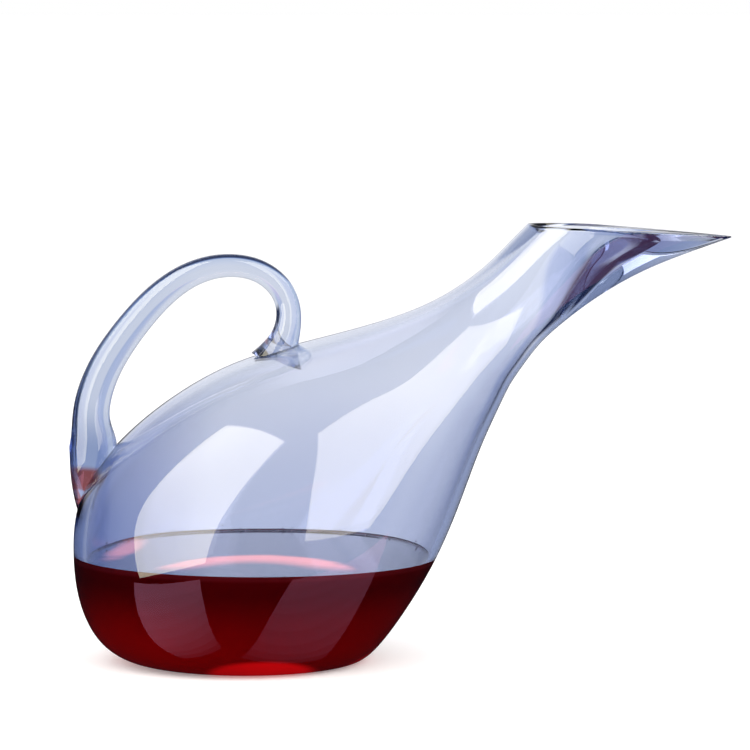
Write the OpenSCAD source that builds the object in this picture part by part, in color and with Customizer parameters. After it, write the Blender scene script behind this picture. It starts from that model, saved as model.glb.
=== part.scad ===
// Wine decanter in the shape of a duck: a blown glass vessel with a slanted
// neck and a solid pouring tip, a solid glass rod handle, and the wine in it.
// Millimetres, +Z up. The origin is the centre of the resting ring, on the
// surface the decanter stands on. +X runs from the tail towards the tip.

/* [Vessel] */
// Size of the whole decanter against the drawn one
size = 1; // [0.8:0.05:1.2]
// Glass thickness of the sides, mm
wall = 3.4; // [2.6:0.1:4]
// Glass thickness of the floor, mm
floor_t = 5.5; // [4.5:0.5:7]
// Extra reach of the pouring tip, mm
tip_reach = 0; // [-12:1:12]

/* [Handle] */
// Thickness of the handle rod against the drawn one
rod = 1; // [0.8:0.05:1.2]
// Extra height of the handle's loop, mm
loop_rise = 0; // [-8:1:12]

/* [Wine] */
// Height of the wine above the table, mm
wine_level = 50.5; // [20:0.5:60]

/* [Mesh] */
// Facets round the vessel
around = 48; // [32:4:56]
// Rings up each side of the vessel
rings = 36; // [28:1:40]

/* [Hidden] */

// The stations below are drawn at this scale, which makes the wine one bottle.
drawn = 1.05 * size;

// Stations up the vessel. Each is a slice seen from the side: a point on the
// back, a point on the breast, the half width across, and how pointed the
// slice is at its breast end (0 is an ellipse, 1 a sharp tip).
//        back x, z      breast x, z    half  point
stations = [
    [ -45.0,   0.0,   42.0,   0.0,  46.0,  0 ],
    [ -59.5,   0.0,   50.0,   0.0,  57.0,  0 ],
    [ -74.0,   9.0,   59.5,   9.5,  67.5,  0 ],
    [ -82.5,  28.0,   72.5,  28.0,  77.5,  0 ],
    [ -84.5,  49.0,   84.5,  49.0,  84.5,  0 ],
    [ -83.5,  70.0,   93.5,  71.0,  84.0,  0 ],
    [ -75.5,  87.0,   99.5,  88.0,  79.5,  0 ],
    [ -61.0, 104.0,  104.5, 101.0,  73.0,  0 ],
    [ -40.5, 121.0,  109.0, 111.0,  65.0,  0 ],
    [ -12.0, 138.0,  113.0, 119.5,  55.0,  0 ],
    [  20.0, 146.5,  117.2, 128.5,  44.0,  0 ],
    [  51.5, 154.5,  123.0, 136.5,  34.5,  0 ],
    [  77.0, 163.0,  130.5, 147.0,  27.5,  0 ],
    [  95.0, 173.5,  142.0, 157.0,  24.0,  0.1 ],
    [ 107.5, 183.5,  156.5, 168.0,  23.5,  0.3 ],
    [ 117.0, 193.5,  180.0, 182.0,  23.5,  0.6 ],
    [ 125.5, 202.0,  219.0, 195.5,  24.0,  0.9 ],
];
top = len(stations) - 1;

// Stations along the handle rod: x, z, half thickness seen from the side,
// half thickness across.
rod_stations = [
    [ -81.8,  69.0,  0.3,  0.5 ],
    [ -80.8,  74.0,  3.0,  4.0 ],
    [ -78.5,  82.0,  7.0,  8.0 ],
    [ -76.2,  91.0,  9.8, 10.0 ],
    [ -74.4,  98.5, 11.6, 10.0 ],
    [ -75.4, 105.5,  9.6,  9.2 ],
    [ -76.0, 112.5,  8.5,  8.6 ],
    [ -75.2, 119.5,  8.2,  8.3 ],
    [ -72.8, 128.0,  7.9,  8.0 ],
    [ -68.5, 137.5,  7.6,  7.6 ],
    [ -62.5, 147.0,  7.3,  7.3 ],
    [ -54.5, 157.5,  7.0,  7.0 ],
    [ -45.0, 168.0,  6.6,  6.7 ],
    [ -33.5, 177.0,  6.0,  6.3 ],
    [ -21.0, 182.0,  5.5,  5.9 ],
    [  -9.0, 183.0,  5.2,  5.7 ],
    [   2.5, 180.5,  5.2,  5.6 ],
    [  12.0, 173.0,  5.4,  5.7 ],
    [  15.8, 163.0,  5.5,  5.8 ],
    [  15.2, 154.5,  5.9,  6.3 ],
    [  13.2, 148.0,  6.8,  7.2 ],
    [  11.2, 143.2,  8.8,  9.0 ],
    [   9.6, 138.5, 12.0, 12.0 ],
];
rod_top = len(rod_stations) - 1;

punt_r = 25 * drawn;
kick = 3;
dome = 5;

glass = [0.78, 0.84, 0.94];
red = [0.36, 0.01, 0.03];

// A clamped uniform cubic B-spline over a list of rows, and its direction.
function row(P, i) = i < 0 ? 2 * P[0] - P[1]
                   : i >= len(P) ? 2 * P[len(P) - 1] - P[len(P) - 2]
                   : P[i];
function spline(P, s) =
    let (i = min(floor(s), len(P) - 2), t = s - i)
    (pow(1 - t, 3) * row(P, i - 1) + (3 * pow(t, 3) - 6 * t * t + 4) * row(P, i)
     + (-3 * pow(t, 3) + 3 * t * t + 3 * t + 1) * row(P, i + 1)
     + pow(t, 3) * row(P, i + 2)) / 6;
function slope(P, s) =
    let (i = min(floor(s), len(P) - 2), t = s - i)
    (-pow(1 - t, 2) * row(P, i - 1) + (3 * t * t - 4 * t) * row(P, i)
     + (-3 * t * t + 2 * t + 1) * row(P, i + 1) + t * t * row(P, i + 2)) / 2;

function ease(a, b, x) = let (t = max(0, min(1, (x - a) / (b - a)))) t * t * (3 - 2 * t);

// The stations at this size, with the tip moved.
body = [for (i = [0:top]) let (p = stations[i], k = i == top ? 1 : i == top - 1 ? 0.3 : 0)
    [p[0] * drawn, p[1] * drawn, p[2] * drawn + k * tip_reach, p[3] * drawn, p[4] * drawn, p[5]]];

// The glass is thicker at the floor and the tail, and the tip is solid.
function tail_wall(s) = wall + (floor_t - wall) * (1 - ease(2.5, 4, s)) + 2.2 * ease(2, 3.2, s) * (1 - ease(4.5, 7, s));
function breast_wall(s) = wall + (floor_t - wall) * (1 - ease(1, 3, s)) + 1.2 * ease(12, 15, s);
function side_wall(s) = wall + 1.4 * (1 - ease(3, 6, s)) - 0.4 * ease(11, 14, s);
function solid_tip(s) = (31 * drawn + tip_reach) * pow(max(0, (s - 11.5) / 4.5), 3);

function unit(v) = v / norm(v);

// Back point, breast point, half width and pointedness of the outside at s.
function outside(s) = spline(body, s);
// The same for the hollow.
function hollow(s) =
    let (q = spline(body, s), d = slope(body, s),
         bn = unit([d[1], -d[0]]), rn = unit([-d[3], d[2]]),
         along = unit([q[0] - q[2], q[1] - q[3]]),
         b = [q[0], q[1]] + tail_wall(s) * bn,
         // at the rim the breast wall is measured along the slice, so that the rim stays level
         f = ease(14, 16, s),
         r = [q[2], q[3]] + breast_wall(s) * (1 - f) * rn + (solid_tip(s) + breast_wall(s) * f) * along)
    [b[0], b[1], r[0], r[1], q[4] - side_wall(s), q[5]];

// One slice as a ring of points.
function peak(m) = let (c = -m / (m + 2)) sqrt(1 - c * c) * pow(sqrt((1 - c) / 2), m);
function slice(q, n) = [for (j = [0:n - 1]) let (u = 360 * j / n, c = (1 + cos(u)) / 2)
    [q[0] + (q[2] - q[0]) * c,
     q[4] * sin(u) * pow(abs(sin(u / 2)), q[5]) / peak(q[5]),
     q[1] + (q[3] - q[1]) * c]];

// Quads between rings that follow one another, as triangles.
function skin(k, n) = [for (i = [0:k - 2], j = [0:n - 1])
    let (a = i * n + j, b = i * n + (j + 1) % n, c = a + n, d = b + n)
    each [[a, c, b], [b, c, d]]];

// Positions of the rings: closer together at the floor and at the lip.
function at(i, k) = let (t = i / k) top * (t + 0.035 * sin(360 * t) - 0.012 * sin(720 * t));

outer_rings = [for (i = [0:rings]) slice(outside(max(0, min(top, at(i, rings)))), around)];
inner_rings = [for (i = [0:rings - 2]) slice(hollow(max(0, min(top, at(i, rings - 2)))), around)];

// The rounded lip: halfway rings raised above the line between the two rims.
function lip(a, h) = let (o = outer_rings[rings], i = inner_rings[rings - 2])
    [for (j = [0:around - 1]) o[j] + a * (i[j] - o[j]) + [0, 0, h]];
lips = [lip(0.15, 0.5), lip(0.5, 0.7), lip(0.85, 0.4)];

// The inside of the floor, domed over the punt.
function floor_ring(k) = let (q = hollow(0), r = k * (q[2] - q[0]) / 2)
    [for (j = [0:around - 1]) let (u = 360 * j / around)
        [r * cos(u), k * q[4] * sin(u), q[1] + dome * (1 + cos(180 * min(1, r / punt_r))) / 2]];
floor_rings = [for (k = [0.78, 0.6, 0.48, 0.36, 0.24, 0.12]) floor_ring(k)];
floor_mid = [0, 0, hollow(0)[1] + dome];

function fan_end(k, n, tip) = [for (j = [0:n - 1]) [k * n + j, tip, k * n + (j + 1) % n]];
function fan_start(n, tip) = [for (j = [0:n - 1]) [j, (j + 1) % n, tip]];

module skinned(list, first, last) {
    n = len(list[0]);
    k = len(list);
    polyhedron(
        points = concat([for (r = list) each r], [first, last]),
        faces = concat(skin(k, n), fan_start(n, k * n), fan_end(k - 1, n, k * n + 1)));
}

module outer_solid() {
    skinned(outer_rings, [0, 0, 0], (outer_rings[rings][0] + outer_rings[rings][around / 2]) / 2);
}

module hollow_solid() {
    skinned(concat([for (i = [len(floor_rings) - 1:-1:0]) floor_rings[i]], inner_rings),
        floor_mid, (inner_rings[rings - 2][0] + inner_rings[rings - 2][around / 2]) / 2);
}

module vessel() {
    color(glass)
    difference() {
        skinned(concat(outer_rings, lips, [for (i = [rings - 2:-1:0]) inner_rings[i]], floor_rings),
            [0, 0, 0], floor_mid);
        // the punt pushed up under the floor, which leaves a resting ring
        rotate_extrude($fn = 64)
            polygon(concat([[0, -1], [punt_r + 6, -1], [punt_r + 6, 0]],
                [for (t = [0:0.125:1]) [(punt_r + 6) * (1 - t), kick * (1 - cos(180 * t)) / 2]]));
    }
}

// The handle rod as a row of slices square to its path.
lifted = [for (p = rod_stations) [p[0] * drawn, p[1] * drawn + loop_rise * ease(150, 178, p[1]), p[2] * rod * drawn, p[3] * rod * drawn]];
rod_around = 24;
rod_rings = 56;
function rod_slice(s) =
    let (q = spline(lifted, s), d = slope(lifted, s), t = unit([d[0], d[1]]))
    [for (j = [0:rod_around - 1]) let (v = 360 * j / rod_around)
        [q[0] + q[2] * cos(v) * t[1], q[3] * sin(v), q[1] - q[2] * cos(v) * t[0]]];

module rod_solid() {
    list = [for (i = [0:rod_rings]) rod_slice(rod_top * i / rod_rings)];
    skinned(list, [lifted[0][0], 0, lifted[0][1]], [lifted[rod_top][0], 0, lifted[rod_top][1]]);
}

module handle() {
    // the resize makes this node one mesh, so the foot meets the vessel face to face
    color(glass) resize([0, 0, 0]) difference() {
        rod_solid();
        outer_solid();
    }
}

module wine() {
    color(red) resize([0, 0, 0]) intersection() {
        hollow_solid();
        translate([-200, -200, -10]) cube([400, 400, wine_level + 10]);
    }
}

vessel();
handle();
wine();
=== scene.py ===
import math

import bmesh
import bpy
import numpy as np
from mathutils import Matrix, Vector


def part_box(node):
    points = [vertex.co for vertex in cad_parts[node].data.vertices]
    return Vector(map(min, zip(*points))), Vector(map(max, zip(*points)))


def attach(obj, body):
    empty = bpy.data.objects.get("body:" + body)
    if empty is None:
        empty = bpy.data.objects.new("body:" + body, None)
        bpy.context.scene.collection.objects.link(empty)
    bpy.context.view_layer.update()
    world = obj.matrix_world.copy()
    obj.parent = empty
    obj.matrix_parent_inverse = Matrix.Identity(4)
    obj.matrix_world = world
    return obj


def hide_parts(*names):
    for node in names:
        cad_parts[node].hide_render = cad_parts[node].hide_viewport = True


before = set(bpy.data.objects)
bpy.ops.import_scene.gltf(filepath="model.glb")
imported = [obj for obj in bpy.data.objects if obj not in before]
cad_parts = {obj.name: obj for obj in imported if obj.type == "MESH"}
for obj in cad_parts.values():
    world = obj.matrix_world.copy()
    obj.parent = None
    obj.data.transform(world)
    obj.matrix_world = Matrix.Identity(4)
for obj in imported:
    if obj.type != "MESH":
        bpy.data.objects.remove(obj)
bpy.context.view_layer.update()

# ---------------------------------------------------------------- shape of the decanter
# The same stations as the part's source, in millimetres at the drawn scale:
# back x, z, breast x, z, half width, pointedness.
STATIONS = np.array([
    [-45, 0, 42, 0, 46, 0], [-59.5, 0, 50, 0, 57, 0], [-74, 9, 59.5, 9.5, 67.5, 0],
    [-82.5, 28, 72.5, 28, 77.5, 0], [-84.5, 49, 84.5, 49, 84.5, 0], [-83.5, 70, 93.5, 71, 84, 0],
    [-75.5, 87, 99.5, 88, 79.5, 0], [-61, 104, 104.5, 101, 73, 0], [-40.5, 121, 109, 111, 65, 0],
    [-12, 138, 113, 119.5, 55, 0], [20, 146.5, 117.2, 128.5, 44, 0], [51.5, 154.5, 123, 136.5, 34.5, 0],
    [77, 163, 130.5, 147, 27.5, 0], [95, 173.5, 142, 157, 24, 0.1], [107.5, 183.5, 156.5, 168, 23.5, 0.3],
    [117, 193.5, 180, 182, 23.5, 0.6], [125.5, 202, 219, 195.5, 24, 0.9]], float)
ROD = np.array([
    [-81.8, 69, .3, .5], [-80.8, 74, 3, 4], [-78.5, 82, 7, 8], [-76.2, 91, 9.8, 10], [-74.4, 98.5, 11.6, 10],
    [-75.4, 105.5, 9.6, 9.2], [-76, 112.5, 8.5, 8.6], [-75.2, 119.5, 8.2, 8.3], [-72.8, 128, 7.9, 8],
    [-68.5, 137.5, 7.6, 7.6], [-62.5, 147, 7.3, 7.3], [-54.5, 157.5, 7, 7], [-45, 168, 6.6, 6.7],
    [-33.5, 177, 6, 6.3], [-21, 182, 5.5, 5.9], [-9, 183, 5.2, 5.7], [2.5, 180.5, 5.2, 5.6],
    [12, 173, 5.4, 5.7], [15.8, 163, 5.5, 5.8], [15.2, 154.5, 5.9, 6.3], [13.2, 148, 6.8, 7.2],
    [11.2, 143.2, 8.8, 9], [9.6, 138.5, 12, 12]], float)

vessel_lo, vessel_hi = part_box("vessel")
wine_lo, wine_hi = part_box("wine")
# the drawn scale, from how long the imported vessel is
DRAWN = (vessel_hi.x - vessel_lo.x) * 1000 / 302.95
TOP = len(STATIONS) - 1
BODY = STATIONS.copy()
BODY[:, :5] *= DRAWN
BODY[:, 4] *= 0.9994
RODS = ROD * DRAWN
LEVEL = wine_hi.z * 1000
WALL = 3.4
FLOOR_T = wine_lo.z * 1000
PUNT = 25 * DRAWN
KICK = 3.0
DOME = 5.0


def spline(P, s, slope=False):
    """A clamped uniform cubic B-spline over the rows of P, at every s, or its direction."""
    s = np.atleast_1d(np.asarray(s, float))
    R = np.vstack([2 * P[0] - P[1], P, 2 * P[-1] - P[-2]])
    i = np.clip(np.floor(s).astype(int), 0, len(P) - 2)
    t = (s - i)[:, None]
    a, b, c, d = R[i], R[i + 1], R[i + 2], R[i + 3]
    if slope:
        return (-(1 - t) ** 2 * a + (3 * t * t - 4 * t) * b + (-3 * t * t + 2 * t + 1) * c + t * t * d) / 2
    return ((1 - t) ** 3 * a + (3 * t ** 3 - 6 * t * t + 4) * b
            + (-3 * t ** 3 + 3 * t * t + 3 * t + 1) * c + t ** 3 * d) / 6


def ease(a, b, x):
    t = np.clip((np.asarray(x, float) - a) / (b - a), 0, 1)
    return t * t * (3 - 2 * t)


def unit(v):
    return v / np.maximum(np.linalg.norm(v, axis=-1, keepdims=True), 1e-12)


def outside(s):
    return spline(BODY, s)


def hollow(s, grow=0.0):
    """The hollow's slice at s; grow takes it that much further out, into the glass."""
    s = np.atleast_1d(np.asarray(s, float))
    q, d = spline(BODY, s), spline(BODY, s, True)
    tail = WALL + (FLOOR_T - WALL) * (1 - ease(2.5, 4, s)) + 2.2 * ease(2, 3.2, s) * (1 - ease(4.5, 7, s)) - grow
    breast = WALL + (FLOOR_T - WALL) * (1 - ease(1, 3, s)) + 1.2 * ease(12, 15, s) - grow
    side = WALL + 1.4 * (1 - ease(3, 6, s)) - 0.4 * ease(11, 14, s) - grow
    tip = 31 * DRAWN * np.maximum(0, (s - 11.5) / 4.5) ** 3
    bn = unit(np.stack([d[:, 1], -d[:, 0]], -1))
    rn = unit(np.stack([-d[:, 3], d[:, 2]], -1))
    along = unit(np.stack([q[:, 0] - q[:, 2], q[:, 1] - q[:, 3]], -1))
    f = ease(14, 16, s)
    b = q[:, 0:2] + tail[:, None] * bn
    r = q[:, 2:4] + (breast * (1 - f))[:, None] * rn + (tip + breast * f)[:, None] * along
    return np.column_stack([b, r, q[:, 4] - side, q[:, 5]])


def ring(q, u):
    """Slices q (n rows) as n rings of points at the angles u."""
    c = (1 + np.cos(u))[None, :] / 2
    m = q[:, 5:6]
    k = -m / (m + 2)
    peak = np.sqrt(1 - k * k) * ((1 - k) / 2) ** (m / 2)
    x = q[:, 0:1] + (q[:, 2:3] - q[:, 0:1]) * c
    z = q[:, 1:2] + (q[:, 3:4] - q[:, 1:2]) * c
    y = q[:, 4:5] * np.sin(u)[None, :] * np.abs(np.sin(u / 2))[None, :] ** m / peak
    return np.stack([x, y, z], -1)


AROUND = 216
U = 2 * np.pi * np.arange(AROUND) / AROUND


def spaced(slicer, first, last, n):
    """n positions along s, evenly spaced along the surface."""
    s = np.linspace(first, last, 600)
    P = ring(slicer(s), U[::8])
    step = np.linalg.norm(np.diff(P, axis=0), axis=-1)
    step = 0.5 * step.mean(1) + 0.5 * step.max(1)
    run = np.concatenate([[0], np.cumsum(step)])
    return np.interp(np.linspace(0, run[-1], n), run, s)


def grid_mesh(name, rows, first=None, last=None):
    """A mesh in metres from rings of points in millimetres, with a point closing each end."""
    rows = np.asarray(rows)
    k, n, _ = rows.shape
    pts = rows.reshape(-1, 3)
    faces = []
    for i in range(k - 1):
        a = i * n
        for j in range(n):
            j1 = (j + 1) % n
            faces.append((a + j, a + j1, a + n + j1, a + n + j))
    extra = []
    if first is not None:
        extra.append(first)
        c = len(pts) + len(extra) - 1
        faces += [((j + 1) % n, j, c) for j in range(n)]
    if last is not None:
        extra.append(last)
        c = len(pts) + len(extra) - 1
        a = (k - 1) * n
        faces += [(a + j, a + (j + 1) % n, c) for j in range(n)]
    if extra:
        pts = np.vstack([pts, np.array(extra, float)])
    me = bpy.data.meshes.new(name)
    me.from_pydata((pts / 1000).tolist(), [], faces)
    me.validate()
    bm = bmesh.new()
    bm.from_mesh(me)
    if bm.calc_volume(signed=True) < 0:
        bmesh.ops.reverse_faces(bm, faces=bm.faces)
    bm.to_mesh(me)
    bm.free()
    me.shade_smooth()
    ob = bpy.data.objects.new(name, me)
    bpy.context.scene.collection.objects.link(ob)
    return ob


# ---------------------------------------------------------------- materials
def nodes_of(name):
    m = bpy.data.materials.new(name)
    m.use_nodes = True
    nt = m.node_tree
    nt.nodes.clear()
    out = nt.nodes.new("ShaderNodeOutputMaterial")
    p = nt.nodes.new("ShaderNodeBsdfPrincipled")
    nt.links.new(p.outputs["BSDF"], out.inputs["Surface"])
    return m, nt, p


def noise(nt, scale, detail=2.0, rough=0.5, vector=None):
    n = nt.nodes.new("ShaderNodeTexNoise")
    n.inputs["Scale"].default_value = scale
    n.inputs["Detail"].default_value = detail
    n.inputs["Roughness"].default_value = rough
    if vector is not None:
        nt.links.new(vector, n.inputs["Vector"])
    return n.outputs["Fac"]


def mapped(nt, value, a, b, c, d, smooth=True):
    n = nt.nodes.new("ShaderNodeMapRange")
    n.interpolation_type = "SMOOTHSTEP" if smooth else "LINEAR"
    nt.links.new(value, n.inputs["Value"])
    for k, v in zip(("From Min", "From Max", "To Min", "To Max"), (a, b, c, d)):
        n.inputs[k].default_value = v
    return n.outputs["Result"]


def math_node(nt, op, a, b=None):
    n = nt.nodes.new("ShaderNodeMath")
    n.operation = op
    for i, v in enumerate((a, b)):
        if v is None:
            continue
        if isinstance(v, (int, float)):
            n.inputs[i].default_value = v
        else:
            nt.links.new(v, n.inputs[i])
    return n.outputs[0]


def mixed(nt, fac, a, b):
    n = nt.nodes.new("ShaderNodeMix")
    n.data_type = "RGBA"
    if isinstance(fac, (int, float)):
        n.inputs[0].default_value = fac
    else:
        nt.links.new(fac, n.inputs[0])
    for sock, v in ((n.inputs[6], a), (n.inputs[7], b)):
        if isinstance(v, (tuple, list)):
            sock.default_value = (*v, 1)
        else:
            nt.links.new(v, sock)
    return n.outputs[2]


def bump(nt, p, height, strength, distance):
    b = nt.nodes.new("ShaderNodeBump")
    b.inputs["Strength"].default_value = strength
    b.inputs["Distance"].default_value = distance
    nt.links.new(height, b.inputs["Height"])
    nt.links.new(b.outputs["Normal"], p.inputs["Normal"])


def object_coords(nt):
    t = nt.nodes.new("ShaderNodeTexCoord")
    return t.outputs["Object"]


def stretched(nt, vector, scale):
    m = nt.nodes.new("ShaderNodeMapping")
    m.inputs["Scale"].default_value = scale
    nt.links.new(vector, m.inputs["Vector"])
    return m.outputs["Vector"]


def glass(name, light, deep, wave, streak, density, absorb, tail=None, loop_shade=None):
    """Blown glass: clear, faintly blue, deeper in colour where it is thick, with soft cords and a slightly wavy skin;
    its tint also carries painted shade, and on the handle a painted highlight.
    """
    m, nt, p = nodes_of(name)
    co = object_coords(nt)
    cords = noise(nt, 9, 3, 0.55, stretched(nt, co, streak))
    fac = mapped(nt, cords, 0.32, 0.68, 0, 1)
    tint = mixed(nt, fac, light, deep)
    if tail is not None:
        sep = nt.nodes.new("ShaderNodeSeparateXYZ")
        nt.links.new(co, sep.inputs[0])
        x, y, z = sep.outputs
        # painted shade: the tint is darkened at the tail, low in the belly, down the breast and at the foot of the neck
        toward_tail = mapped(nt, math_node(nt, "ADD", x, math_node(nt, "MULTIPLY", z, 0.25)), 0.035, -0.062, 0, 1)
        toward_breast = mapped(nt, math_node(nt, "SUBTRACT", x, math_node(nt, "MULTIPLY", z, 0.42)), 0.028, 0.068, 0, 1)
        low = mapped(nt, z, 0.175, 0.135, 0, 1)
        toward_foot = mapped(nt, z, 0.15, 0.075, 0, 0.36)
        painted_shade = math_node(nt, "MAXIMUM", toward_tail, math_node(nt, "MULTIPLY", math_node(nt, "MULTIPLY", toward_breast, low), 0.48))
        painted_shade = math_node(nt, "MAXIMUM", painted_shade, toward_foot)
        fade = mapped(nt, z, 0.118, 0.145, 1, 0.0)
        painted_shade = math_node(nt, "MULTIPLY", painted_shade, math_node(nt, "MAXIMUM", fade, math_node(nt, "MULTIPLY", toward_breast, 1.0)))
        tint = mixed(nt, painted_shade, tint, tail)
        # painted shade: the far edge of the tail is darkened further
        far_tail_shade = mapped(nt, math_node(nt, "ADD", x, math_node(nt, "MULTIPLY", z, 0.1)), -0.066, -0.082, 0, 1)
        tint = mixed(nt, far_tail_shade, tint, (0.40, 0.46, 0.68))
    if loop_shade is not None:
        sep = nt.nodes.new("ShaderNodeSeparateXYZ")
        nt.links.new(co, sep.inputs[0])
        x, y, z = sep.outputs
        dx, dz = math_node(nt, "SUBTRACT", x, -0.024), math_node(nt, "SUBTRACT", z, 0.128)
        geo = nt.nodes.new("ShaderNodeNewGeometry")
        face = nt.nodes.new("ShaderNodeSeparateXYZ")
        nt.links.new(geo.outputs["Normal"], face.inputs[0])
        out_from = math_node(nt, "DIVIDE",
                             math_node(nt, "ADD", math_node(nt, "MULTIPLY", dx, face.outputs[0]), math_node(nt, "MULTIPLY", dz, face.outputs[2])),
                             math_node(nt, "SQRT", math_node(nt, "ADD", math_node(nt, "MULTIPLY", dx, dx), math_node(nt, "MULTIPLY", dz, dz))))
        # painted shade: the loop is darkened low down and on its outer side; its inner side is whitened, a painted
        # highlight
        tint = mixed(nt, mapped(nt, z, 0.128, 0.102, 0, 1), tint, (0.42, 0.50, 0.70))
        tint = mixed(nt, mapped(nt, out_from, 0.0, 0.9, 0, 1), tint, loop_shade)
        tint = mixed(nt, mapped(nt, out_from, -0.2, -0.9, 0, 0.8), tint, (0.97, 0.98, 1.0))
        # painted refraction: the wine seen through the pointed foot is painted in red-brown, either side of a clear
        # crease
        crease = math_node(nt, "ABSOLUTE", math_node(nt, "SUBTRACT", math_node(nt, "ADD", x, 0.0845), math_node(nt, "MULTIPLY", math_node(nt, "SUBTRACT", z, 0.084), -0.35)))
        painted_wine_wedge = math_node(nt, "MULTIPLY", mapped(nt, z, 0.0955, 0.0925, 0, 1), mapped(nt, crease, 0.0008, 0.0016, 0, 1))
        tint = mixed(nt, painted_wine_wedge, tint, (0.34, 0.10, 0.10))
    nt.links.new(tint, p.inputs["Base Color"])
    p.inputs["Transmission Weight"].default_value = 1.0
    p.inputs["IOR"].default_value = 1.5
    haze = noise(nt, 60, 3, 0.6, co)
    nt.links.new(mapped(nt, haze, 0.45, 0.8, 0.0, 0.012), p.inputs["Roughness"])
    skin = noise(nt, 14, 1.5, 0.4, stretched(nt, co, streak))
    bump(nt, p, skin, 1.0, wave)
    va = nt.nodes.new("ShaderNodeVolumeAbsorption")
    va.inputs["Color"].default_value = (*absorb, 1)
    va.inputs["Density"].default_value = density
    out = next(n for n in nt.nodes if n.type == "OUTPUT_MATERIAL")
    nt.links.new(va.outputs[0], out.inputs["Volume"])
    return m


# tail is the painted shade colour for the tail, the belly, the breast and the foot of the neck
glass_body = glass("blown_glass", (0.925, 0.945, 1.0), (0.89, 0.915, 0.99), 0.00012, (1, 1, 0.55), 34, (0.1, 0.24, 0.54), tail=(0.56, 0.61, 0.80))
glass_rod = glass("drawn_glass_rod", (0.86, 0.89, 0.96), (0.80, 0.84, 0.93), 0.00010, (1, 1, 1), 25, (0.1, 0.24, 0.54), loop_shade=(0.40, 0.53, 0.80))

# ---------------------------------------------------------------- the vessel
s_out = spaced(outside, 0, TOP, 190)
s_in = spaced(hollow, 0, TOP, 180)
outer = ring(outside(s_out), U)
inner = ring(hollow(s_in), U)

# pull the last rings back a little, so that the rounded lip ends at the rim's own height
rim_o = ring(outside([TOP]), U)[0]
rim_i = ring(hollow([TOP]), U)[0]
to = unit(rim_o - ring(outside([TOP - 0.05]), U)[0])
ti = unit(rim_i - ring(hollow([TOP - 0.05]), U)[0])
flat = np.array([0.0694, 0, 0.9976])
wide = np.linalg.norm(rim_o - rim_i, axis=-1)
k = ease(4.5, 14, wide)[:, None]
lift = unit((1 - k) * unit(to + ti) + k * flat)
crown = 1.15 * (1 - 0.45 * ease(5, 16, wide))
back = crown * 0.9


def pulled(rows, slicer, sv, amount):
    """rows with their ends slid back down the surface, column by column."""
    rows = rows.copy()
    end = ring(slicer([TOP]), U)[0]
    before = ring(slicer([TOP - 0.02]), U)[0]
    per = np.linalg.norm(end - before, axis=-1) / 0.02
    s_end = TOP - amount / np.maximum(per, 1e-6)
    for i in range(len(sv)):
        f = ease(TOP - 3.0, TOP, sv[i])
        if f <= 0:
            continue
        sc = sv[i] - f * (TOP - s_end)
        q = slicer(sc)
        m = q[:, 5]
        kk = -m / (m + 2)
        peak = np.sqrt(1 - kk * kk) * ((1 - kk) / 2) ** (m / 2)
        c = (1 + np.cos(U)) / 2
        rows[i, :, 0] = q[:, 0] + (q[:, 2] - q[:, 0]) * c
        rows[i, :, 2] = q[:, 1] + (q[:, 3] - q[:, 1]) * c
        rows[i, :, 1] = q[:, 4] * np.sin(U) * np.abs(np.sin(U / 2)) ** m / peak
    return rows


outer = pulled(outer, outside, s_out, back)
inner = pulled(inner, hollow, s_in, back * (1 - 0.6 * ease(5, 16, wide)))
O, I = outer[-1], inner[-1]
w = np.linalg.norm(O - I, axis=-1)
lips = []
for th in np.pi * np.array([0.05, 0.11, 0.18, 0.26, 0.36, 0.5, 0.64, 0.74, 0.82, 0.89, 0.95]):
    a = (1 - math.cos(th)) / 2
    h = crown * np.tanh(w / 2 * math.sin(th) / crown)
    lips.append(O + a * (I - O) + h[:, None] * lift)


def floor_ring(k, grow=0.0):
    q = hollow([0], grow)[0]
    cx = (q[0] + q[2]) / 2 * k
    r = k * (q[2] - q[0]) / 2
    z = q[1] + DOME * (1 + math.cos(math.pi * min(1, abs(r) / PUNT))) / 2
    return np.stack([cx + r * np.cos(U), k * q[4] * np.sin(U), np.full(AROUND, z)], -1)


FLOOR_K = [0.95, 0.88, 0.8, 0.72, 0.64, 0.56, 0.49, 0.42, 0.35, 0.28, 0.21, 0.14, 0.07]
floor_mid = [0, 0, hollow([0])[0][1] + DOME]

# the underside: a resting ring round the punt, a touch rounded on both sides
under = []
ring0 = ring(outside([0]), U)[0]
edge = np.stack([(PUNT + 6) * np.cos(U), (PUNT + 6) * np.sin(U), np.zeros(AROUND)], -1)
for t in (0.2, 0.4, 0.6, 0.8, 1.0):
    under.append(ring0 + (edge - ring0) * t)
for t in np.linspace(0.06, 0.96, 16):
    r = (PUNT + 6) * (1 - t)
    under.append(np.stack([r * np.cos(U), r * np.sin(U), np.full(AROUND, KICK * (1 - math.cos(math.pi * t)) / 2)], -1))
rows = np.concatenate([np.array(under[::-1]), outer, np.array(lips), inner[::-1], np.array([floor_ring(f) for f in FLOOR_K])])
vessel = grid_mesh("vessel_glass_body", rows, first=[0, 0, KICK], last=floor_mid)
vessel.data.materials.append(glass_body)
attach(vessel, "root")
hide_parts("vessel")

# ---------------------------------------------------------------- the wine
GROW = 0.25
s_fine = np.linspace(0, 8, 900)
hq = hollow(s_fine, GROW)

# Each column climbs the hollow's own surface until it meets the wine's level.
cols = ring(hq, U)
climb = 1.1  # how far the wine creeps up the glass, mm
rings_w = 60
side = np.zeros((rings_w, AROUND, 3))
for j in range(AROUND):
    z = cols[:, j, 2]
    zt = np.linspace(0, 1, rings_w) ** 0.9 * (LEVEL + climb - z[0]) + z[0]
    zz = np.maximum.accumulate(z + np.arange(len(z)) * 1e-9)
    for a in range(3):
        side[:, j, a] = np.interp(zt, zz, cols[:, j, a])
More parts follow.
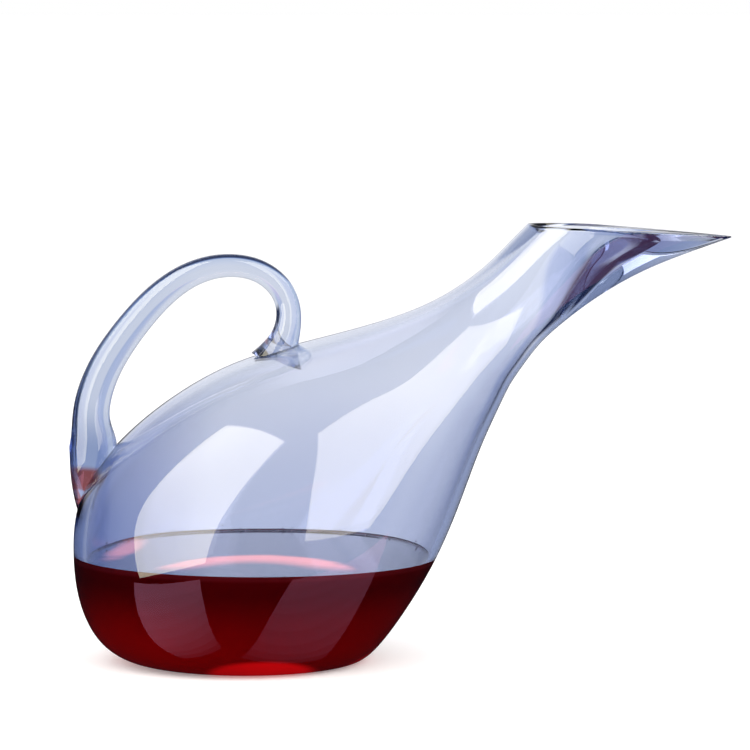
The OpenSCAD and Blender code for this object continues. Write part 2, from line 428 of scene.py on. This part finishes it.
# the first rings of the hollow are level, so their own spacing comes from the slices
low = ring(hollow(np.linspace(0, 1.2, 10), GROW), U)
zcut = low[-1, :, 2].max() + 0.05
side = np.array([r for r in side if r[:, 2].min() > zcut])
rim = side[-1]
centre = np.array([rim[:, 0].mean(), 0, 0])
inward = unit((centre - rim) * np.array([1, 1, 0]))
tops = []
for d in (0.35, 0.8, 1.3, 1.9, 2.7, 3.8, 5.2, 7):
    p = rim + inward * d
    p[:, 2] = LEVEL - 0.02 + (climb + 0.02) * math.exp(-d / 1.15)
    tops.append(p)
flatr = tops[-1].copy()
flatr[:, 2] = LEVEL
for f in np.linspace(0.94, 0.06, 14):
    p = centre + (flatr - centre) * f
    p[:, 2] = LEVEL
    tops.append(p)
floor_w = [floor_ring(f, GROW) for f in FLOOR_K[::-1]]
wrows = np.concatenate([np.array(floor_w), low, side, np.array(tops)])
n_side = len(floor_w) + len(low) + len(side)
q0 = hollow([0], GROW)[0]
wine = grid_mesh("wine_body", wrows, first=[0, 0, q0[1] + DOME], last=[centre[0], 0, LEVEL])

# wine seen through the glass wall; its base colour carries painted light, brighter red towards the bottom and the left
m_wine, nt, p = nodes_of("red_wine_painted_glow")
co = object_coords(nt)
sep = nt.nodes.new("ShaderNodeSeparateXYZ")
nt.links.new(co, sep.inputs[0])
X, Y, Z = sep.outputs
near_bottom = mapped(nt, Z, 0.004, 0.046, 1, 0)
left = mapped(nt, X, -0.075, 0.03, 1, 0)
cloud = noise(nt, 22, 3, 0.5, co)
glow = math_node(nt, "MULTIPLY", near_bottom, math_node(nt, "ADD", math_node(nt, "MULTIPLY", left, 0.65), 0.35))
glow = math_node(nt, "MULTIPLY", glow, mapped(nt, cloud, 0.3, 0.7, 0.85, 1.15))
base = mixed(nt, glow, (0.105, 0.0001, 0.0012), (0.60, 0.0004, 0.0003))
rr = math_node(nt, "SQRT", math_node(nt, "ADD", math_node(nt, "MULTIPLY", X, X), math_node(nt, "MULTIPLY", Y, Y)))
# painted light: bright red over the punt, where light comes up through it
punt = math_node(nt, "MULTIPLY", mapped(nt, rr, 0.030, 0.052, 1, 0), mapped(nt, Z, 0.006, 0.014, 1, 0))
base = mixed(nt, punt, base, (0.95, 0.008, 0.005))
top_edge = mapped(nt, Z, LEVEL / 1000 - 0.0022, LEVEL / 1000 - 0.0004, 0, 1)
base = mixed(nt, top_edge, base, (0.16, 0.006, 0.008))
nt.links.new(base, p.inputs["Base Color"])
# light that has come through the wine: a faint red all through its lower part, and the punt's bright edge
around_x = math_node(nt, "MULTIPLY", math_node(nt, "SUBTRACT", X, 0.003), 39.0)
around_y = math_node(nt, "MULTIPLY", Y, 36.0)
height = math_node(nt, "MULTIPLY", math_node(nt, "SUBTRACT", Z, 0.0035), 150.0)
spots = []
for axis, strength in ((around_x, 1), (around_y, 0.4)):
    far = math_node(nt, "SQRT", math_node(nt, "ADD", math_node(nt, "MULTIPLY", axis, axis), math_node(nt, "MULTIPLY", height, height)))
    spots.append(mapped(nt, far, 1.12, 0.80, 0, strength))
spot = math_node(nt, "MULTIPLY", math_node(nt, "MAXIMUM", *spots), mapped(nt, cloud, 0.3, 0.7, 0.8, 1.1))
lower = mapped(nt, Z, 0.044, 0.026, 0.0, 0.036)
lower = math_node(nt, "ADD", lower, math_node(nt, "MULTIPLY", mapped(nt, Z, 0.026, 0.006, 0, 0.040), math_node(nt, "ADD", math_node(nt, "MULTIPLY", left, 0.7), 0.3)))
nt.links.new(mixed(nt, math_node(nt, "ADD", math_node(nt, "MULTIPLY", spot, 0.55), lower), (0, 0, 0), (1.0, 0.004, 0.006)), p.inputs["Emission Color"])
p.inputs["Emission Strength"].default_value = 1.0
nt.links.new(mapped(nt, cloud, 0.2, 0.8, 0.25, 0.32), p.inputs["Roughness"])
p.inputs["Specular IOR Level"].default_value = 0.0
p.inputs["IOR"].default_value = 1.34

# the wine's open surface
m_top, nt, p = nodes_of("red_wine_surface")
co = object_coords(nt)
sep = nt.nodes.new("ShaderNodeSeparateXYZ")
nt.links.new(co, sep.inputs[0])
X, Y, Z = sep.outputs
cloud = noise(nt, 30, 3, 0.55, co)
# painted reflection: looked down on, the wine is dark red; seen along its surface its base colour is painted the pale
# blue of the glass round it
lw = nt.nodes.new("ShaderNodeLayerWeight")
lw.inputs["Blend"].default_value = 0.5
low_look = mapped(nt, lw.outputs["Facing"], 0.50, 0.88, 0, 1)
steep = mixed(nt, mapped(nt, cloud, 0.3, 0.7, 0, 1), (0.085, 0.0008, 0.004), (0.125, 0.0012, 0.005))
along = mixed(nt, mapped(nt, cloud, 0.3, 0.7, 0, 1), (0.034, 0.030, 0.060), (0.060, 0.040, 0.080))
base = mixed(nt, low_look, steep, along)
# light gathered by the wine's curved side glows in an arc under the surface, and in a patch near the tail
xx = math_node(nt, "DIVIDE", math_node(nt, "SUBTRACT", X, 0.001), 0.047)
yy = math_node(nt, "DIVIDE", math_node(nt, "ADD", Y, 0.062), 0.052)
r2 = math_node(nt, "SQRT", math_node(nt, "ADD", math_node(nt, "MULTIPLY", xx, xx), math_node(nt, "MULTIPLY", yy, yy)))
ripple = math_node(nt, "MULTIPLY", math_node(nt, "SUBTRACT", noise(nt, 30, 3, 0.6, stretched(nt, co, (0.5, 1.6, 1))), 0.5), 0.25)
r2 = math_node(nt, "ADD", r2, ripple)
arc = math_node(nt, "MULTIPLY", mapped(nt, r2, 0.45, 0.86, 0.0, 1), mapped(nt, r2, 0.93, 1.08, 1, 0))
arc = math_node(nt, "MULTIPLY", arc, mapped(nt, Y, -0.060, -0.035, 0, 1))
px = math_node(nt, "DIVIDE", math_node(nt, "ADD", X, 0.066), 0.010)
py = math_node(nt, "DIVIDE", math_node(nt, "SUBTRACT", math_node(nt, "SUBTRACT", Y, 0.018), math_node(nt, "MULTIPLY", math_node(nt, "ADD", X, 0.066), 1.6)), 0.036)
r3 = math_node(nt, "ADD", math_node(nt, "SQRT", math_node(nt, "ADD", math_node(nt, "MULTIPLY", px, px), math_node(nt, "MULTIPLY", py, py))), math_node(nt, "MULTIPLY", ripple, 3.0))
patch = mapped(nt, r3, 0.35, 1.1, 1, 0)
glow = math_node(nt, "MAXIMUM", arc, math_node(nt, "MULTIPLY", patch, 0.95))
glow = math_node(nt, "MULTIPLY", glow, mapped(nt, low_look, 0, 1, 0.4, 1))
base = mixed(nt, glow, base, (0.95, 0.10, 0.09))
nt.links.new(base, p.inputs["Base Color"])
nt.links.new(mixed(nt, glow, (0, 0, 0), (1.0, 0.26, 0.16)), p.inputs["Emission Color"])
p.inputs["Emission Strength"].default_value = 1.3
p.inputs["Roughness"].default_value = 0.02
p.inputs["IOR"].default_value = 1.345
p.inputs["Coat Weight"].default_value = 1.0
p.inputs["Coat Roughness"].default_value = 0.02
p.inputs["Coat IOR"].default_value = 1.5
bump(nt, p, noise(nt, 25, 2, 0.5, co), 0.4, 0.00005)
wine.data.materials.append(m_wine)
wine.data.materials.append(m_top)
for poly in wine.data.polygons:
    if poly.center.z > (LEVEL - 0.1) / 1000 and poly.normal.z > 0.15:
        poly.material_index = 1
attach(wine, "root")
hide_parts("wine")

# tiny bubbles cling where the wine meets the glass, most of them along the far side
rng = np.random.default_rng(7)
bm = bmesh.new()
for k in range(120):
    a = rng.normal(-1.45, 0.42) if k < 80 else rng.uniform(-math.pi, math.pi)
    j = int(round(-a / (2 * math.pi) * AROUND)) % AROUND
    r = rng.uniform(0.22, 0.5)
    at = rim[j] + inward[j] * (r + 0.25 + rng.exponential(0.5))
    z = LEVEL + climb * math.exp(-np.linalg.norm(at - rim[j]) / 1.15) + r * 0.5
    if k % 4 == 0:
        z += rng.exponential(0.8)
        at = rim[j] + inward[j] * (r * 0.9)
    bmesh.ops.create_uvsphere(bm, u_segments=12, v_segments=8, radius=r / 1000,
                              matrix=Matrix.Translation((at[0] / 1000, at[1] / 1000, z / 1000)))
me = bpy.data.meshes.new("wine_bubbles")
bm.to_mesh(me)
bm.free()
me.shade_smooth()
bubbles = bpy.data.objects.new("wine_bubbles", me)
bpy.context.scene.collection.objects.link(bubbles)
m_bub, nt, p = nodes_of("wine_bubble_film")
co = object_coords(nt)
nt.links.new(mixed(nt, mapped(nt, noise(nt, 300, 2, 0.5, co), 0.35, 0.65, 0, 1), (0.55, 0.50, 0.56), (0.86, 0.80, 0.84)), p.inputs["Base Color"])
nt.links.new(mapped(nt, noise(nt, 120, 2, 0.5, co), 0.3, 0.7, 0.02, 0.10), p.inputs["Roughness"])
p.inputs["Transmission Weight"].default_value = 0.85
p.inputs["IOR"].default_value = 1.34
bubbles.data.materials.append(m_bub)
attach(bubbles, "root")
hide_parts("wine")

# ---------------------------------------------------------------- the handle rod
ROD_AROUND, ROD_RINGS = 72, 300
V = 2 * np.pi * np.arange(ROD_AROUND) / ROD_AROUND
sr = np.linspace(0, len(RODS) - 1, ROD_RINGS)
q, d = spline(RODS, sr), spline(RODS, sr, True)
t = unit(d[:, :2])
flute = 1 + 0.012 * np.cos(5 * V[None, :] + 0.02 * sr[:, None]) * (ease(3, 6, sr) * (1 - ease(18, 20, sr)))[:, None]
rod_rows = np.stack([
    q[:, 0:1] + q[:, 2:3] * flute * np.cos(V)[None, :] * t[:, 1:2],
    q[:, 3:4] * flute * np.sin(V)[None, :],
    q[:, 1:2] - q[:, 2:3] * flute * np.cos(V)[None, :] * t[:, 0:1]], -1)
handle = grid_mesh("handle_glass_rod", rod_rows, first=[RODS[0, 0], 0, RODS[0, 1]], last=[RODS[-1, 0], 0, RODS[-1, 1]])
# the rod ends just inside the skin of the vessel, where the two are fused
cut_s = spaced(outside, 0, TOP, 90)
cut = ring(outside(cut_s), U[::3])
cd = np.roll(cut, -1, 1) - np.roll(cut, 1, 1)
cs = np.gradient(cut, axis=0)
cn = unit(np.cross(cd, cs))
cen = cut.mean(1, keepdims=True)
if (cn * (cut - cen)).sum() < 0:
    cn = -cn
cut = cut - 0.6 * cn
cutter = grid_mesh("cutter", cut, first=[0, 0, 0.6], last=list((cut[-1].min(0) + cut[-1].max(0)) / 2))
bo = handle.modifiers.new("fuse", "BOOLEAN")
bo.operation = "DIFFERENCE"
bo.object = cutter
bo.solver = "EXACT"
bpy.context.view_layer.update()
dg = bpy.context.evaluated_depsgraph_get()
cut_mesh = bpy.data.meshes.new_from_object(handle.evaluated_get(dg))
handle.modifiers.clear()
handle.data = cut_mesh
bpy.data.objects.remove(cutter)
handle.data.set_sharp_from_angle(angle=math.radians(40))
handle.data.materials.clear()
handle.data.materials.append(glass_rod)
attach(handle, "root")
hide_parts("handle")

# ---------------------------------------------------------------- floor, light and camera
floor_mat, nt, p = nodes_of("studio_floor")
co = object_coords(nt)
nt.links.new(mixed(nt, mapped(nt, noise(nt, 3, 2, 0.5, co), 0.3, 0.7, 0, 1), (0.86, 0.865, 0.875), (0.89, 0.892, 0.9)), p.inputs["Base Color"])
p.inputs["Roughness"].default_value = 0.7
p.inputs["Specular IOR Level"].default_value = 0.1
p.inputs["Emission Color"].default_value = (1, 1, 1, 1)
p.inputs["Emission Strength"].default_value = 0.20
bpy.ops.mesh.primitive_circle_add(vertices=96, radius=40, fill_type="NGON", location=(0, 0, -0.0002))
floor = bpy.context.object
floor.name = "studio_floor"
floor.data.materials.append(floor_mat)
floor.visible_glossy = False
floor.visible_transmission = False

world = bpy.data.worlds.new("studio")
bpy.context.scene.world = world
world.use_nodes = True
nt = world.node_tree
nt.nodes.clear()
out = nt.nodes.new("ShaderNodeOutputWorld")
bg = nt.nodes.new("ShaderNodeBackground")
nt.links.new(bg.outputs[0], out.inputs["Surface"])
tc = nt.nodes.new("ShaderNodeTexCoord")


sky = nt.nodes.new("ShaderNodeSeparateXYZ")
nt.links.new(tc.outputs["Generated"], sky.inputs[0])
sx, sy, sz = sky.outputs
turn = math_node(nt, "ARCTAN2", sx, sy)
# Rays bent by the glass see a white tent. Low down it has panels with grey gaps between them,
# and below the table's edge it falls away to navy.
across = mapped(nt, math_node(nt, "COSINE", math_node(nt, "MULTIPLY", turn, 8.0)), -0.45, 0.15, 0, 1)
above = mapped(nt, sz, 0.10, 0.30, 0, 1)
below = mapped(nt, sz, -0.32, -0.42, 0, 1)
panels = math_node(nt, "MAXIMUM", math_node(nt, "MAXIMUM", across, above), below)
path = nt.nodes.new("ShaderNodeLightPath")
through = mixed(nt, panels, (0.66, 0.72, 0.88), (1.0, 1.0, 1.0))
falling = mapped(nt, sz, -0.50, -0.57, 0, 1)
through = mixed(nt, falling, through, (0.30, 0.40, 0.66))
deep = math_node(nt, "MULTIPLY", mapped(nt, sz, -0.54, -0.64, 0, 1), mapped(nt, sz, -0.985, -0.965, 0, 1))
flag = math_node(nt, "MULTIPLY", mapped(nt, sx, 0.42, 0.60, 0, 1), math_node(nt, "MULTIPLY", mapped(nt, sz, 0.15, -0.05, 0, 1), mapped(nt, sy, -0.1, 0.25, 0, 1)))
through = mixed(nt, math_node(nt, "MAXIMUM", deep, flag), through, (0.018, 0.028, 0.075))
# the studio is lit from behind: towards the front it is a little darker
front = mapped(nt, sy, -0.15, -0.60, 0, 1)
through = mixed(nt, math_node(nt, "MULTIPLY", front, 0.5), through, (0.60, 0.66, 0.80))
lit = math_node(nt, "MAXIMUM", path.outputs["Is Camera Ray"], path.outputs["Is Diffuse Ray"])
col = mixed(nt, lit, through, (1.0, 1.0, 1.0))
# a ray that has gone on through glass counts as a transmission ray here, and not as a reflection
mirror = math_node(nt, "MULTIPLY", path.outputs["Is Glossy Ray"], math_node(nt, "SUBTRACT", 1.0, path.outputs["Is Transmission Ray"]))
behind = math_node(nt, "MULTIPLY", mapped(nt, sy, 0.70, 0.95, 0, 1), mapped(nt, sz, 0.0, 0.12, 0, 1))
seen = mixed(nt, mapped(nt, sz, 0.2, 0.6, 0, 1), (0.006, 0.007, 0.01), (0.30, 0.32, 0.40))
seen = mixed(nt, behind, seen, (0.95, 0.96, 1.0))
col = mixed(nt, mirror, col, seen)
nt.links.new(col, bg.inputs["Color"])


def softbox(name, centre, n, h, v, box, radiance, colour, mirror=False, kinds=("diffuse", "glossy", "transmission"), back=0.0):
    """A rectangular light: box is its left, right, low and high edges in its own plane, in metres."""
    c, n, h, v = (np.array(a, float) for a in (centre, n, h, v))
    n, h, v = unit(n), unit(h), unit(v)
    x0, x1, y0, y1 = box
    c = c + h * (x0 + x1) / 2 + v * (y0 + y1) / 2 + n * back
    if mirror:
        flip = np.array([1, 1, -1])
        c, n, h, v = c * flip, n * flip, h * flip, v * flip
    data = bpy.data.lights.new(name, "AREA")
    data.shape = "RECTANGLE"
    data.size, data.size_y = x1 - x0, y1 - y0
    data.energy = radiance * math.pi * (x1 - x0) * (y1 - y0)
    data.color = colour
    ob = bpy.data.objects.new(name, data)
    bpy.context.scene.collection.objects.link(ob)
    z = n  # a light shines along its own -Z, so +Z points away from the decanter
    x = h
    y = np.cross(z, x)
    ob.matrix_world = Matrix([[x[0], y[0], z[0], c[0]], [x[1], y[1], z[1], c[1]], [x[2], y[2], z[2], c[2]], [0, 0, 0, 1]])
    ob.visible_camera = False
    ob.visible_diffuse = "diffuse" in kinds
    ob.visible_glossy = "glossy" in kinds
    ob.visible_transmission = "transmission" in kinds
    ob.visible_volume_scatter = False
    if mirror or "transmission" in kinds:
        # the table's image only shows in the outside of the glass, not by way of its inside,
        # and a softbox lights and is reflected, but isn't looked at straight through the glass
        data.use_nodes = True
        nt = data.node_tree
        emission = next(n for n in nt.nodes if n.type == "EMISSION")
        lp = nt.nodes.new("ShaderNodeLightPath")
        shown = math_node(nt, "LESS_THAN", lp.outputs["Transmission Depth"], 0.5)
        if not mirror:
            turned = math_node(nt, "ADD", lp.outputs["Glossy Depth"], lp.outputs["Diffuse Depth"])
            shown = math_node(nt, "MAXIMUM", shown, math_node(nt, "GREATER_THAN", turned, 0.5))
        nt.links.new(shown, emission.inputs["Strength"])
    return ob


LEFT = dict(centre=(-1.18, -0.922, 0.562), n=(-0.866, -0.374, 0.332), h=(0.432, -0.894, 0.121), v=(0.251, 0.249, 0.935))
RIGHT = dict(centre=(0.933, -0.65, 1.125), n=(0.62, -0.368, 0.693), h=(0.664, 0.717, -0.213), v=(-0.419, 0.592, 0.689))
softbox("softbox_left", box=(-0.78, 0.78, -0.95, 1.645), radiance=2.6, colour=(1, 0.9, 0.86), **LEFT)
softbox("softbox_right", box=(-1.02, 1.02, -2.4, 0.48), radiance=2.3, colour=(1, 0.9, 0.86), **RIGHT)
softbox("glare_left", box=(-0.78, 0.78, -0.95, 1.645), radiance=3.9, colour=(1, 0.95, 0.6), kinds=("glossy",), back=0.02, **LEFT)
softbox("glare_right", box=(-1.02, 1.02, -2.4, 0.48), radiance=2.4, colour=(1, 0.95, 0.6), kinds=("glossy",), back=0.02, **RIGHT)
# the softboxes' images in the table, fading towards their far ends
for i in range(8):
    fade = 1 - 0.86 * i / 7
    a, b = 1.9 * (i / 8) - 0.08 * (1 - i / 8), 1.9 * ((i + 1) / 8) - 0.08 * (1 - (i + 1) / 8)
    softbox("table_glow_left_%d" % i, box=(-0.75, 0.57, a, b), radiance=1.95 * fade, colour=(1, 0.38, 0.62), mirror=True, kinds=("glossy",), **LEFT)
    a, b = 1.2 * (i / 8) - 0.5 * (1 - i / 8), 1.2 * ((i + 1) / 8) - 0.5 * (1 - (i + 1) / 8)
    softbox("table_glow_right_%d" % i, box=(-0.68, 0.9, a, b), radiance=1.35 * fade, colour=(1, 0.32, 0.55), mirror=True, kinds=("glossy",), **RIGHT)
# a soft white sheet above and behind whitens the shoulder and the rim, and is kept off the handle
only = bpy.data.collections.new("lit_by_the_sheet")
only.objects.link(vessel)
sheet = softbox("sheet_above", centre=(0.05, 1.14, 1.67), n=(0, 0.6, 0.8), h=(1, 0, 0), v=(0, -0.8, 0.6),
                box=(-1.1, 0.8, -0.95, 0.75), radiance=1.9, colour=(0.9, 0.87, 1.0), kinds=("glossy",))
sheet.light_linking.receiver_collection = only
# the sheet fades out towards its left and its near edges
sheet.data.use_nodes = True
nt = sheet.data.node_tree
emission = next(n for n in nt.nodes if n.type == "EMISSION")
spread = nt.nodes.new("ShaderNodeNewGeometry")
split = nt.nodes.new("ShaderNodeSeparateXYZ")
nt.links.new(spread.outputs["Parametric"], split.inputs[0])
fade = math_node(nt, "MULTIPLY", mapped(nt, split.outputs[0], 0.05, 0.4, 0, 1), mapped(nt, split.outputs[1], 0.95, 0.35, 0, 1))
nt.links.new(fade, emission.inputs["Strength"])

cam_data = bpy.data.cameras.new("camera")
cam = bpy.data.objects.new("camera", cam_data)
bpy.context.scene.collection.objects.link(cam)
eye, aim = Vector((0.05775, -2.1735, 0.32865)), Vector((0.05775, 0, 0.1386))
cam.location = eye
cam.rotation_mode = "QUATERNION"
cam.rotation_quaternion = (aim - eye).to_track_quat("-Z", "Y")
cam_data.sensor_width = 36
cam_data.lens = 216.8
cam_data.clip_start, cam_data.clip_end = 0.05, 100
scene = bpy.context.scene
scene.camera = cam
scene.view_settings.view_transform = "Standard"
scene.view_settings.look = "None"
scene.cycles.max_bounces = 24
scene.cycles.transmission_bounces = 24
scene.cycles.glossy_bounces = 12
scene.cycles.transparent_max_bounces = 12
